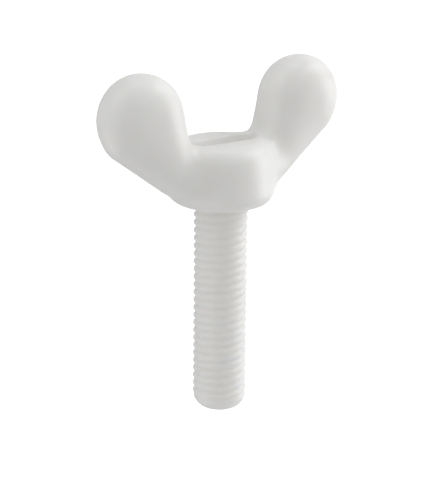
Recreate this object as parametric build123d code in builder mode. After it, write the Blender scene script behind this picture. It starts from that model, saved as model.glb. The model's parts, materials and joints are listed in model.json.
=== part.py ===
from build123d import *
from math import atan2, cos, degrees, radians
import os

# Wing screw M10 x 40, moulded in one piece in natural white nylon: two round,
# full ears, a round hub with a screwdriver slot across its top, and a threaded
# shank. It is a single solid.
#
# It is drawn upright in the screw frame: Z is the screw axis, the underside
# of the hub is Z = 0, the head is above it and the shank below, and the ears
# lie along +X and -X. It is then laid down, because a wing screw can't stand:
# it rests along the tapered side of its hub, the ears level and clear of the
# floor and the tip in the air.
# In the lying frame the floor is Z = 0, the head points to +Y and the origin
# is on the floor, at the bottom centre of the screw's box.

# ---- shank -------------------------------------------------------------
thread_d = 10.0          # M10 major diameter
shank_len = 40.0         # underside of the hub to the end of the tip
tip_len = 3.2            # length of the rounded tip
tip_flat_r = 2.4         # radius of the flat at the end of the tip

# ---- hub ---------------------------------------------------------------
hub_r_base = 10.1        # radius of the side, carried down to the underside
hub_r_top = 8.8          # radius of the side, carried up to the top face
hub_h = 11.5             # underside to top face
hub_rim_r = 2.6          # rounding of the top rim
hub_base_r = 2.3         # rounding of the bottom edge

# ---- ears: the outline in the XZ plane is the hull of three circles ---------
lobe = (17.3, 17.4, 7.95)      # round lobe: x, z, radius
shoulder = (19.4, 15.3, 5.7)   # full lower outer side
root = (11.0, 7.2, 4.5)        # root, mostly buried in the hub
ear_half = 5.2           # half the thickness of an ear
ear_edge_r = 4.9         # rounding of its edge, each side
blend_r = 2.4            # concave fillet where the ears grow out of the hub

# ---- screwdriver slot across the top, from ear to ear -----------------------
slot_w = 3.8
slot_depth = 2.6
slot_half_len = 7.3

# ---- lying pose -------------------------------------------------------------
lie_taper = degrees(atan2(hub_r_base - hub_r_top, hub_h))   # taper of the hub's side
lie_rise = hub_r_base * cos(radians(lie_taper))   # axis above the floor at the underside
lie_shift = 7.388                   # underside to the box's centre, along Y

os.makedirs("parts", exist_ok=True)


def ear(side):
    """One ear, on the +X side (1) or the -X side (-1), edges rounded."""
    with BuildPart() as one:
        with BuildSketch(Plane.XZ):
            for x, z, radius in (lobe, shoulder, root):
                with Locations((side * x, z)):
                    Circle(radius)
            make_hull()
        extrude(amount=ear_half, both=True)
        fillet(one.faces().filter_by(Axis.Y).edges(), radius=ear_edge_r)
    return one.part


def lies_on(edge, faces):
    """True where the whole edge lies on one or more of the faces."""
    return all(
        min(f.distance_to(Vertex(*(edge @ t))) for f in faces) < 1e-3
        for t in (0.07, 0.5, 0.93)
    )


with BuildPart() as hub:
    with BuildSketch(Plane.XZ):
        with BuildLine():
            Polyline((0, 0), (hub_r_base, 0), (hub_r_top, hub_h), (0, hub_h), close=True)
        make_face()
    revolve(axis=Axis.Z)
    fillet(hub.edges().sort_by(Axis.Z)[-1], radius=hub_rim_r)
    fillet(hub.edges().sort_by(Axis.Z)[0], radius=hub_base_r)

ears = [ear(1), ear(-1)]

with BuildPart() as upright:
    add(hub.part)
    for e in ears:
        add(e)

    # concave fillets: every edge that lies both on the hub and on an ear
    hub_faces = hub.faces()
    roots = [
        edge
        for edge in upright.edges()
        if lies_on(edge, hub_faces) and any(lies_on(edge, e.faces()) for e in ears)
    ]
    fillet(roots, radius=blend_r)

    # screwdriver slot, open at the top, closed by the ears at its ends
    with BuildSketch(Plane.XY.offset(hub_h - slot_depth)):
        Rectangle(2 * slot_half_len, slot_w)
    extrude(amount=slot_depth + 0.6, mode=Mode.SUBTRACT)

    # shank with a rounded tip, revolved about the screw axis
    r = thread_d / 2
    with BuildSketch(Plane.XZ):
        with BuildLine():
            Polyline((0, 1), (r, 1), (r, -(shank_len - tip_len)))
            EllipticalCenterArc(
                center=(tip_flat_r, -(shank_len - tip_len)),
                x_radius=r - tip_flat_r,
                y_radius=tip_len,
                start_angle=270,
                arc_size=90,
            )
            Polyline((tip_flat_r, -shank_len), (0, -shank_len), (0, 1))
        make_face()
    revolve(axis=Axis.Z)

with BuildPart() as wing_screw:
    with Locations((0, lie_shift, lie_rise)):
        add(upright.part, rotation=(-(90 + lie_taper), 0, 0))

wing_screw.part.label = "wing_screw"
export_step(wing_screw.part, "parts/wing_screw.step")
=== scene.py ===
"""Wing screw M10 x 40, moulded in natural white nylon, lying on the side of its hub.

The head and the threaded shank are modelled upright in the screw's own frame, in
millimetres, as the CAD model is: Z is the screw axis and the underside of the hub
is Z = 0. They are then laid down in the row frame on the side of the hub, which
here has a taper 0.16 degrees greater than in the CAD model.
"""
import json
import math

import bmesh
import bpy
import numpy as np
from mathutils import Matrix, Vector

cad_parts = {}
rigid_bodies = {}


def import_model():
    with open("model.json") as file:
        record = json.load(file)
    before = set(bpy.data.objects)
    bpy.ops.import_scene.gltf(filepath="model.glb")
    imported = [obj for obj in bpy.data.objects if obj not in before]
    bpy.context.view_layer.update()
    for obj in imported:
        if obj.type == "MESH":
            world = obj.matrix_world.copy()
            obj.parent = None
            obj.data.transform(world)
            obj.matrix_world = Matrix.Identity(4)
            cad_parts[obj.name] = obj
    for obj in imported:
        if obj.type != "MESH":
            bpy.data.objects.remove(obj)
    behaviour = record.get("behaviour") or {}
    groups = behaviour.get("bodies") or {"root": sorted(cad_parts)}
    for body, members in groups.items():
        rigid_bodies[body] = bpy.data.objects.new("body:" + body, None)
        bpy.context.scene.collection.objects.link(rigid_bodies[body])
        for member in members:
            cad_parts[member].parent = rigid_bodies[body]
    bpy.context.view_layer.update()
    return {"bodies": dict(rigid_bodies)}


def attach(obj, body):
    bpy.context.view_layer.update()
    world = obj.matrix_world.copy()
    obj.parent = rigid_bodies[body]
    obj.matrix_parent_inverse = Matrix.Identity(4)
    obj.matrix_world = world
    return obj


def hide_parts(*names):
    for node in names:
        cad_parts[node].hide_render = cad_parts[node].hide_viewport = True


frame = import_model()


# ---- pose, camera and lights -----------------------------------------------
LIE_SHIFT = 7.388
CAM_EL, CAM_AZ, CAM_ROLL = math.radians(17.30), math.radians(35.60), math.radians(0.50)
CAM_U, CAM_V, CAM_D, CAM_F = 221.04, 201.31, 272.88, 1500.0
WORLD = 0.461
GLOW = 0.9
LIGHTS = [
    ("soft_m30_0", -30, 0, 0.6, 0.4, 0.104),
    ("soft_100_0", 100, 0, 0.6, 0.4, 0.800),
    ("soft_120_0", 120, 0, 0.6, 0.4, 0.200),
    ("soft_150_0", 150, 0, 0.6, 0.4, 0.200),
    ("soft_180_0", 180, 0, 0.6, 0.4, 0.200),
    ("soft_0_80", 0, 80, 0.6, 0.4, 0.269),
    ("soft_m45_40", -45, 40, 0.6, 0.4, 0.379),
    ("soft_45_40", 45, 40, 0.6, 0.4, 0.089),
    ("soft_90_40", 90, 40, 0.6, 0.4, 0.800),
    ("soft_135_40", 135, 40, 0.6, 0.4, 0.200),
    ("soft_180_40", 180, 40, 0.6, 0.4, 0.051),
    ("soft_m90_m40", -90, -40, 0.6, 0.4, 0.406),
    ("soft_m45_m40", -45, -40, 0.6, 0.4, 0.137),
    ("soft_0_m40", 0, -40, 0.6, 0.4, 0.036),
    ("soft_135_m40", 135, -40, 0.6, 0.4, 0.200),
]

# ---- the head as an implicit surface, in the upright screw frame (mm) -------
LOBE = (17.32, 17.23, 8.08)
SHOULDER = (19.10, 15.26, 5.63)
ROOT = (10.69, 6.48, 3.55)
HUB_RB, HUB_RT, HUB_H = 10.05, 8.72, 11.48
HUB_RIM, HUB_BASE = 2.5, 3.0
EAR_HALF, EAR_W, EAR_P = 5.29, 6.85, 2.17
EAR_TZ, EAR_TX = 0.054, -0.031
BLEND, BLEND_FACE, BLEND_LOW = 3.14, 0.8, 0.35     # ears into hub: at the mid-plane, more on the faces and low down
SLOT_W, SLOT_D, SLOT_END = 4.3, 2.6, 7.2
SLOT_EDGE = 0.22
SHANK_L, SHANK_R = 40.0, 5.02
PITCH = 1.5


def hull_parts(circles):
    """Tangent lines (unit normal, offset) and each circle's range of normals, for the hull of the circles."""
    c = np.array(circles)
    n = 7200
    th = (np.arange(n) + 0.5) * 2 * math.pi / n
    sup = np.cos(th)[:, None] * c[:, 0] + np.sin(th)[:, None] * c[:, 1] + c[:, 2]
    who = sup.argmax(1)
    turns = [k for k in range(n) if who[k] != who[k - 1]]
    cuts = []
    for k in turns:
        i, j = who[k - 1], who[k]
        d = c[i, :2] - c[j, :2]
        base, half = math.atan2(d[1], d[0]), math.acos((c[j, 2] - c[i, 2]) / math.hypot(*d))
        near = min(
            (base + half, base - half),
            key=lambda a: abs((a - th[k] + math.pi) % (2 * math.pi) - math.pi),
        )
        cuts.append(near % (2 * math.pi))
    lines = []
    for k, a in zip(turns, cuts):
        i = who[k]
        nx, nz = math.cos(a), math.sin(a)
        lines.append((nx, nz, nx * c[i, 0] + nz * c[i, 1] + c[i, 2]))
    arcs = []
    for m, k in enumerate(turns):
        a, b = cuts[m], cuts[(m + 1) % len(turns)]
        arcs.append((*c[who[k]], a, (b - a) % (2 * math.pi)))
    return lines, arcs


LINES, ARCS = hull_parts((LOBE, SHOULDER, ROOT))


def outline(x, z):
    """Signed distance to the ear's outline, negative inside."""
    d = np.full(x.shape, -1e9)
    for nx, nz, off in LINES:
        d = np.maximum(d, nx * x + nz * z - off)
    for cx, cz, r, a, span in ARCS:
        dx, dz = x - cx, z - cz
        inside = ((np.arctan2(dz, dx) - a) % (2 * math.pi)) <= span
        d = np.maximum(d, np.where(inside, np.hypot(dx, dz) - r, -1e9))
    return d


def round_max(a, b, r):
    return np.minimum(np.maximum(a, b), -r) + np.hypot(np.maximum(a + r, 0), np.maximum(b + r, 0))


def smooth_min(a, b, k):
    h = np.maximum(k - np.abs(a - b), 0) / k
    return np.minimum(a, b) - h * h * k * 0.25


def smooth_max(a, b, k):
    return -smooth_min(-a, -b, k)


def ear(x, y, z):
    x = np.abs(x)
    depth = -outline(x, z)
    half = np.clip(EAR_HALF + EAR_TX * (x - LOBE[0]) + EAR_TZ * (z - LOBE[1]), 1.2, 9.0)
    # the rounding is as wide as the ear is at that height, so that the faces meet in no ridge
    ux, uz = LOBE[0] - ROOT[0], LOBE[1] - ROOT[1]
    t = np.clip(((x - ROOT[0]) * ux + (z - ROOT[1]) * uz) / (ux * ux + uz * uz), 0, 1)
    w = -smooth_max(-(ROOT[2] + t * (LOBE[2] - ROOT[2])), -EAR_W, 1.0)
    a = np.maximum(w - depth, 0) / w
    b = np.abs(y) / half
    return ((a**EAR_P + b**EAR_P) ** (1 / EAR_P) - 1) * np.minimum(w, half)


def hub(x, y, z):
    rho = np.hypot(x, y)
    sx, sz = HUB_H, HUB_RB - HUB_RT
    length = math.hypot(sx, sz)
    side = ((rho - HUB_RB) * sx + z * sz) / length
    return round_max(round_max(side, z - HUB_H, HUB_RIM), -z, HUB_BASE)


def head(x, y, z):
    side = np.clip((np.abs(y) - 1.0) / 4.5, 0, 1)
    low = np.clip((7.0 - z) / 5.0, 0, 1)
    k = BLEND + BLEND_FACE * side * side * (3 - 2 * side) + BLEND_LOW * low * low * (3 - 2 * low)
    d = smooth_min(ear(x, y, z), hub(x, y, z), k)
    cut = round_max(np.abs(y) - SLOT_W / 2, HUB_H - SLOT_D - z, 0.3)
    cut = round_max(cut, np.abs(x) - SLOT_END, 2.2)
    d = round_max(d, -cut, SLOT_EDGE)
    return np.maximum(d, -z)


def polygonise(f, xs, ys, zs):
    """Surface nets on a rectilinear grid: quads around every edge where f changes sign."""
    X, Y, Z = np.meshgrid(xs, ys, zs, indexing="ij")
    v = f(X, Y, Z)
    nx, ny, nz = v.shape
    cells = (nx - 1, ny - 1, nz - 1)
    total = np.zeros((*cells, 3))
    count = np.zeros(cells)
    grid = (xs, ys, zs)
    inside = v < 0
    crossings = []
    for ax in range(3):
        lo = [slice(None)] * 3
        hi = [slice(None)] * 3
        lo[ax], hi[ax] = slice(None, -1), slice(1, None)
        a, b = v[tuple(lo)], v[tuple(hi)]
        ia, ib = inside[tuple(lo)], inside[tuple(hi)]
        idx = np.argwhere(ia != ib)
        i = tuple(idx.T)
        t = a[i] / (a[i] - b[i])
        p = np.stack([grid[k][idx[:, k]] for k in range(3)], 1)
        step = grid[ax][idx[:, ax] + 1] - grid[ax][idx[:, ax]]
        p[:, ax] += t * step
        others = [k for k in range(3) if k != ax]
        for da in (0, 1):
            for db in (0, 1):
                c = idx.copy()
                c[:, others[0]] -= da
                c[:, others[1]] -= db
                ok = np.all((c >= 0) & (c < np.array(cells)), 1)
                np.add.at(total, tuple(c[ok].T), p[ok])
                np.add.at(count, tuple(c[ok].T), 1)
        crossings.append((ax, idx, ia[i]))
    used = count > 0
    number = np.full(cells, -1)
    number[used] = np.arange(used.sum())
    verts = total[used] / count[used][:, None]
    faces = []
    for ax, idx, solid_first in crossings:
        o1, o2 = (ax + 1) % 3, (ax + 2) % 3
        ring = []
        for d1, d2 in ((0, 0), (1, 0), (1, 1), (0, 1)):
            c = idx.copy()
            c[:, o1] -= d1
            c[:, o2] -= d2
            ring.append(number[tuple(c.T)])
        q = np.stack(ring, 1)
        q[~solid_first] = q[~solid_first][:, ::-1]
        faces.append(q)
    return verts, np.concatenate(faces)


def gradient(f, p, e=0.01):
    g = []
    for k in range(3):
        s = np.zeros(3)
        s[k] = e
        a, b = p + s, p - s
        g.append((f(*a.T) - f(*b.T)) / (2 * e))
    return np.stack(g, 1)


def settle(f, verts, faces, rounds=3, relax=2):
    """Evens the mesh out along the surface, then puts every point exactly on it."""
    n = len(verts)
    e = np.concatenate([faces[:, [0, 1]], faces[:, [1, 2]], faces[:, [2, 3]], faces[:, [3, 0]]])
    for k in range(rounds + relax):
        if k < relax:
            total = np.zeros((n, 3))
            count = np.zeros(n)
            for a, b in ((0, 1), (1, 0)):
                np.add.at(total, e[:, a], verts[e[:, b]])
                np.add.at(count, e[:, a], 1)
            g = gradient(f, verts)
            g /= np.maximum(np.linalg.norm(g, axis=1), 1e-9)[:, None]
            move = total / count[:, None] - verts
            move -= g * np.sum(move * g, 1)[:, None]
            verts = verts + 0.5 * move
        g = gradient(f, verts)
        step = (f(*verts.T) / np.maximum(np.sum(g * g, 1), 0.05))[:, None] * g
        size = np.linalg.norm(step, axis=1)
        step *= (np.minimum(size, 0.15) / np.maximum(size, 1e-9))[:, None]
        verts = verts - step
    return verts


def spaced(lo, hi, fine_lo, fine_hi, fine, coarse):
    """Grid lines: coarse outside the fine band."""
    parts = [np.linspace(lo, fine_lo, max(2, round((fine_lo - lo) / coarse) + 1))[:-1],
             np.linspace(fine_lo, fine_hi, max(2, round((fine_hi - fine_lo) / fine) + 1))[:-1],
             np.linspace(fine_hi, hi, max(2, round((hi - fine_hi) / coarse) + 1))]
    return np.concatenate(parts)


# ---- the shank: a parametric right-hand thread ------------------------------
THREAD_DEPTH = 0.52
CREST, ROOTW = 0.22, 0.12          # share of the pitch that is crest and root
THREAD_SOFT = 0.09
THREAD_TURN = 0.0                  # phase, in turns
TIP_R, TIP_LEN = 2.2, 3.1
RUNOUT = 0.9


def thread_height(u):
    """0 at the root, 1 at the crest, over one pitch; u in turns, crest centred on 0."""
    u = np.abs((u + 0.5) % 1.0 - 0.5)              # 0 crest .. 0.5 root
    flank = 0.5 - CREST / 2 - ROOTW / 2
    t = (0.5 - ROOTW / 2 - u) / flank              # 0 at root edge, 1 at crest edge
    k = THREAD_SOFT / flank
    lo = 0.5 * (t + np.sqrt(t * t + k * k))        # soft max(t, 0)
    return 1 - 0.5 * ((1 - lo) + np.sqrt((1 - lo) ** 2 + k * k))


def shank(turn_segments=96, rows_per_pitch=16, z_top=1.2):
    ends = -SHANK_L + TIP_LEN
    zs = list(np.linspace(z_top, ends, int((z_top - ends) / PITCH * rows_per_pitch)))
    rr = [1.0] * len(zs)
    n_tip = 22
    for k in range(1, n_tip + 1):
        a = k / n_tip * math.pi / 2
        zs.append(ends - TIP_LEN * math.sin(a))
        rr.append((TIP_R + (SHANK_R - TIP_R) * math.cos(a)) / SHANK_R)
    zs, rr = np.array(zs), np.array(rr)
    th = np.arange(turn_segments) / turn_segments * 2 * math.pi
    Z, TH = np.meshgrid(zs, th, indexing="ij")
    E = SHANK_R * rr[:, None] * np.ones_like(TH)
    fade_top = np.clip((-Z - 0.0) / RUNOUT, 0, 1)
    fade_top = fade_top * fade_top * (3 - 2 * fade_top)
    fade_tip = np.clip((Z - (-SHANK_L + 1.2)) / 2.2, 0, 1)
    cut = THREAD_DEPTH * (1 - thread_height(Z / PITCH - TH / (2 * math.pi) + THREAD_TURN))
    # the rounded tip is turned from the crests inwards: the thread stands only where the tip leaves it
    core = SHANK_R - cut * fade_top
    R = np.minimum(E, core * fade_tip + E * (1 - fade_tip))
    verts = np.stack([R * np.cos(TH), R * np.sin(TH), Z], -1).reshape(-1, 3)
    m = turn_segments
    faces = []
    rows = len(zs)
    i = np.arange(rows - 1)[:, None] * m
    j = np.arange(m)[None]
    a, b = i + j, i + (j + 1) % m
    quads = np.stack([a, a + m, b + m, b], -1).reshape(-1, 4)
    return verts, quads, rows, m


def union_mesh(name, parts):
    """One closed mesh from closed meshes given as (verts, faces) in millimetres."""
    objs = []
    for k, (v, f) in enumerate(parts):
        m = bpy.data.meshes.new(f"{name}_{k}")
        m.from_pydata(v.tolist(), [], f)
        m.update()
        o = bpy.data.objects.new(f"{name}_{k}", m)
        bpy.context.scene.collection.objects.link(o)
        objs.append(o)
    base = objs[0]
    for o in objs[1:]:
        mod = base.modifiers.new("union", "BOOLEAN")
        mod.operation, mod.object, mod.solver = "UNION", o, "EXACT"
    dg = bpy.context.evaluated_depsgraph_get()
    mesh = bpy.data.meshes.new_from_object(base.evaluated_get(dg))
    for o in objs:
        old = o.data
        bpy.data.objects.remove(o)
        bpy.data.meshes.remove(old)
    mesh.name = name
    return mesh


GRID = 0.34
xs = np.arange(-26.01, 26.02, GRID)
ys = spaced(-11.0, 11.0, -2.9, 2.9, 0.2, GRID)
zs = spaced(-0.5, 26.3, 8.4, 12.2, 0.2, GRID)
head_v, head_f = polygonise(head, xs, ys, zs)
head_v = settle(head, head_v, head_f)

shank_v, shank_q, rows, m = shank()
shank_f = shank_q.tolist()
shank_f.append(list(range(m))[::1])
last = (rows - 1) * m
shank_f.append([last + k for k in range(m)][::-1])
screw_mesh = union_mesh("wing_screw_body", [(head_v, head_f.tolist()), (shank_v, shank_f)])

# ---- laid down on the side of the hub, as the CAD model is ---------------------
taper = math.atan2(HUB_RB - HUB_RT, HUB_H)
LIE = (
    Matrix.Translation((0, LIE_SHIFT, HUB_RB * math.cos(taper)))
    @ Matrix.Rotation(-(math.pi / 2 + taper), 4, "X")
)
MM = Matrix.Scale(0.001, 4)
screw_mesh.transform(MM @ LIE)
screw = bpy.data.objects.new("wing_screw_body", screw_mesh)
bpy.context.scene.collection.objects.link(screw)
screw_mesh.shade_smooth()
screw_mesh.set_sharp_from_angle(angle=math.radians(50))
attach(screw, "root" if "root" in frame["bodies"] else list(frame["bodies"])[0])
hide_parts("wing_screw")


# ---- material ------------------------------------------------------------------
def nylon():
    mat = bpy.data.materials.new("nylon_natural_white")
    mat.use_nodes = True
    nt = mat.node_tree
    n, link = nt.nodes, nt.links
    bsdf = n["Principled BSDF"]
    tc = n.new("ShaderNodeTexCoord")
    # faint cloudiness of natural nylon
    cloud = n.new("ShaderNodeTexNoise")
    cloud.inputs["Scale"].default_value = 90.0
    cloud.inputs["Detail"].default_value = 3.0
    link.new(tc.outputs["Object"], cloud.inputs["Vector"])
    ramp = n.new("ShaderNodeValToRGB")
    ramp.color_ramp.elements[0].position = 0.25
    ramp.color_ramp.elements[0].color = (0.919, 0.902, 0.881, 1)
    ramp.color_ramp.elements[1].position = 0.75
    ramp.color_ramp.elements[1].color = (0.943, 0.928, 0.909, 1)
    link.new(cloud.outputs["Fac"], ramp.inputs["Fac"])
    link.new(ramp.outputs["Color"], bsdf.inputs["Base Color"])
    # satin moulded skin: slightly uneven gloss
    satin = n.new("ShaderNodeTexNoise")
    satin.inputs["Scale"].default_value = 400.0
    satin.inputs["Detail"].default_value = 4.0
    link.new(tc.outputs["Object"], satin.inputs["Vector"])
    rough = n.new("ShaderNodeMapRange")
    rough.inputs["To Min"].default_value = 0.29
    rough.inputs["To Max"].default_value = 0.35
    link.new(satin.outputs["Fac"], rough.inputs["Value"])
    link.new(rough.outputs["Result"], bsdf.inputs["Roughness"])
    # a very fine moulded skin
    fine = n.new("ShaderNodeTexNoise")
    fine.inputs["Scale"].default_value = 1500.0
    fine.inputs["Detail"].default_value = 2.0
    link.new(tc.outputs["Object"], fine.inputs["Vector"])
    bump = n.new("ShaderNodeBump")
    bump.inputs["Strength"].default_value = 0.25
    bump.inputs["Distance"].default_value = 0.00003
    link.new(fine.outputs["Fac"], bump.inputs["Height"])
    link.new(bump.outputs["Normal"], bsdf.inputs["Normal"])
    bsdf.inputs["IOR"].default_value = 1.53
    bsdf.inputs["Subsurface Weight"].default_value = 1.0
    bsdf.inputs["Subsurface Radius"].default_value = (1.0, 0.96, 0.90)
    bsdf.inputs["Subsurface Scale"].default_value = 0.0032
    return mat


screw_mesh.materials.clear()
screw_mesh.materials.append(nylon())


# ---- camera --------------------------------------------------------------------
def cam_axes():
    """Right, down and forward, and the place of the camera, in the screw frame (mm)."""
    ce, se = math.cos(CAM_EL), math.sin(CAM_EL)
    base = Matrix(((1, 0, 0), (0, -se, -ce), (0, ce, -se)))
    cr, sr = math.cos(CAM_ROLL), math.sin(CAM_ROLL)
    roll = Matrix(((cr, -sr, 0), (sr, cr, 0), (0, 0, 1)))
    cp, sp = math.cos(CAM_AZ), math.sin(CAM_AZ)
    turn = Matrix(((cp, -sp, 0), (sp, cp, 0), (0, 0, 1)))
    m = roll @ base @ turn
    t = Vector(((CAM_U - 213.5) / CAM_F * CAM_D, (CAM_V - 240.0) / CAM_F * CAM_D, CAM_D))
    return m, -(m.transposed() @ t)


axes, eye = cam_axes()
lie3 = LIE.to_3x3()
right, down, ahead = (lie3 @ Vector(axes[k]) for k in range(3))
cam_data = bpy.data.cameras.new("camera")
cam_data.sensor_fit = "HORIZONTAL"
cam_data.sensor_width = 36.0
cam_data.lens = 36.0 * CAM_F / 427.0
cam_data.clip_start, cam_data.clip_end = 0.01, 20.0
cam_data.dof.use_dof = False
cam = bpy.data.objects.new("camera", cam_data)
bpy.context.scene.collection.objects.link(cam)
place = Matrix((right, -down, -ahead)).transposed().to_4x4()
place.translation = (LIE @ eye) * 0.001
cam.matrix_world = place
bpy.context.scene.camera = cam


# ---- floor, world and lights ---------------------------------------------------
def toward(az, el):
    """Unit vector from the screw: az 0 is towards the camera, 90 is to the image's right; el is up the image."""
    a, e = math.radians(az), math.radians(el)
    return (right * math.sin(a) * math.cos(e) - ahead * math.cos(a) * math.cos(e) - down * math.sin(e)).normalized()


def area(name, direction, distance, size, power, color=(1, 1, 1)):
    d = bpy.data.lights.new(name, "AREA")
    d.shape = "DISK"
    d.size = size
    d.energy = power
    d.color = color
    o = bpy.data.objects.new(name, d)
    bpy.context.scene.collection.objects.link(o)
    centre = Vector((0, 0, 0.010))
    o.location = centre + direction * distance
    o.rotation_mode = "QUATERNION"
    o.rotation_quaternion = direction.to_track_quat("Z", "Y")
    return o


floor_mesh = bpy.data.meshes.new("floor")
s = 4.0
floor_mesh.from_pydata([(-s, -s, 0), (s, -s, 0), (s, s, 0), (-s, s, 0)], [], [(0, 1, 2, 3)])
floor = bpy.data.objects.new("floor", floor_mesh)
bpy.context.scene.collection.objects.link(floor)
fm = bpy.data.materials.new("floor_white")
fm.use_nodes = True
fb = fm.node_tree.nodes["Principled BSDF"]
fb.inputs["Base Color"].default_value = (0.92, 0.92, 0.92, 1)
fb.inputs["Roughness"].default_value = 0.9
fb.inputs["Specular IOR Level"].default_value = 0.1
fb.inputs["Emission Color"].default_value = (1, 1, 1, 1)
fb.inputs["Emission Strength"].default_value = GLOW
floor_mesh.materials.append(fm)
# the floor is a backdrop only: the screw is lit by the studio around it
floor.visible_diffuse = floor.visible_glossy = floor.visible_transmission = floor.visible_shadow = False

world = bpy.data.worlds.new("studio")
world.use_nodes = True
bg = world.node_tree.nodes["Background"]
bg.inputs["Color"].default_value = (1, 1, 1, 1)
bg.inputs["Strength"].default_value = WORLD
bpy.context.scene.world = world
for name, az, el, dist, size, power in LIGHTS:
    area(name, toward(az, el), dist, size, power)

scene = bpy.context.scene
scene.view_settings.view_transform = "Standard"
scene.view_settings.look = "None"
scene.view_settings.exposure = 0.0
scene.view_settings.gamma = 1.0
